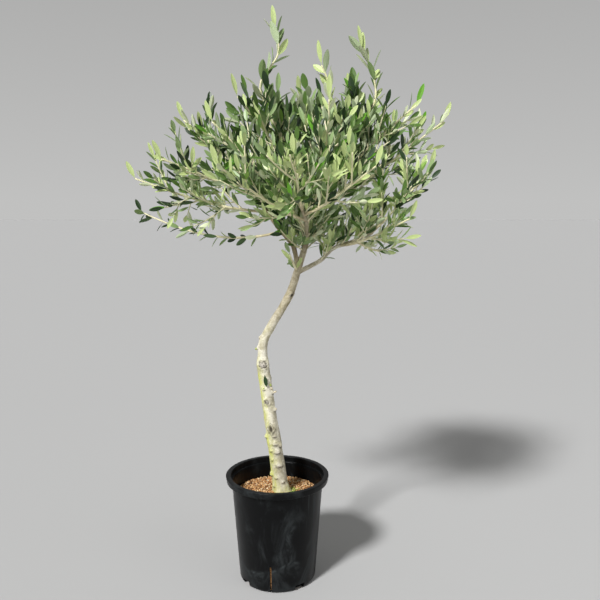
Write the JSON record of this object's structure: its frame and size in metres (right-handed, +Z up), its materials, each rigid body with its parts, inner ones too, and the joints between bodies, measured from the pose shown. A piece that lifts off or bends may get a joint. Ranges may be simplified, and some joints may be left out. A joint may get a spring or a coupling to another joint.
{
  "type": "potted olive tree",
  "caption": "Young olive tree with a leaning, kinked trunk and an open rounded crown of narrow leaves, standing in a round nursery pot with drainage slits.",
  "frame": {"origin": "centre of the pot's flat underside, where it stands on the ground", "axes": "+Z up along the pot's axis and through the plant's height; the pictured front faces -Y, and +X is to the right seen from the front"},
  "size_m": [0.717, 0.6407, 1.2929],
  "materials": {
    "pot": "matte, faintly dusty",
    "soil": "rough",
    "bark": "rough",
    "bough_bark": "matte",
    "foliage": "matte above, silvery below"
  },
  "bodies": {
    "root": {"pot": "pot", "soil": "soil", "trunk": "bark", "bough_middle": "bough_bark", "bough_left": "bough_bark", "bough_right": "bough_bark", "bough_front": "bough_bark", "bough_back": "bough_bark", "left_long_bough": "bough_bark", "left_low_bough": "bough_bark", "left_mid_bough": "bough_bark", "left_high_bough": "bough_bark", "middle_left_bough": "bough_bark", "spire_left_bough": "bough_bark", "top_middle_bough": "bough_bark", "spire_middle_bough": "bough_bark", "spire_right_bough": "bough_bark", "right_high_bough": "bough_bark", "right_far_bough": "bough_bark", "right_mid_bough": "bough_bark", "right_low_bough": "bough_bark", "right_hanging_bough": "bough_bark", "front_left_high_bough": "bough_bark", "front_left_bough": "bough_bark", "front_middle_bough": "bough_bark", "front_right_bough": "bough_bark", "front_high_bough": "bough_bark", "back_left_bough": "bough_bark", "back_middle_bough": "bough_bark", "back_right_bough": "bough_bark", "back_high_left_bough": "bough_bark", "back_high_right_bough": "bough_bark", "left_long_foliage": "foliage", "left_low_foliage": "foliage", "left_mid_foliage": "foliage", "left_high_foliage": "foliage", "middle_left_foliage": "foliage", "spire_left_foliage": "foliage", "top_middle_foliage": "foliage", "spire_middle_foliage": "foliage", "spire_right_foliage": "foliage", "right_high_foliage": "foliage", "right_far_foliage": "foliage", "right_mid_foliage": "foliage", "right_low_foliage": "foliage", "right_hanging_foliage": "foliage", "front_left_high_foliage": "foliage", "front_left_foliage": "foliage", "front_middle_foliage": "foliage", "front_right_foliage": "foliage", "front_high_foliage": "foliage", "back_left_foliage": "foliage", "back_middle_foliage": "foliage", "back_right_foliage": "foliage", "back_high_left_foliage": "foliage", "back_high_right_foliage": "foliage", "fork_sprig_foliage": "foliage"}
  },
  "joints": []
}
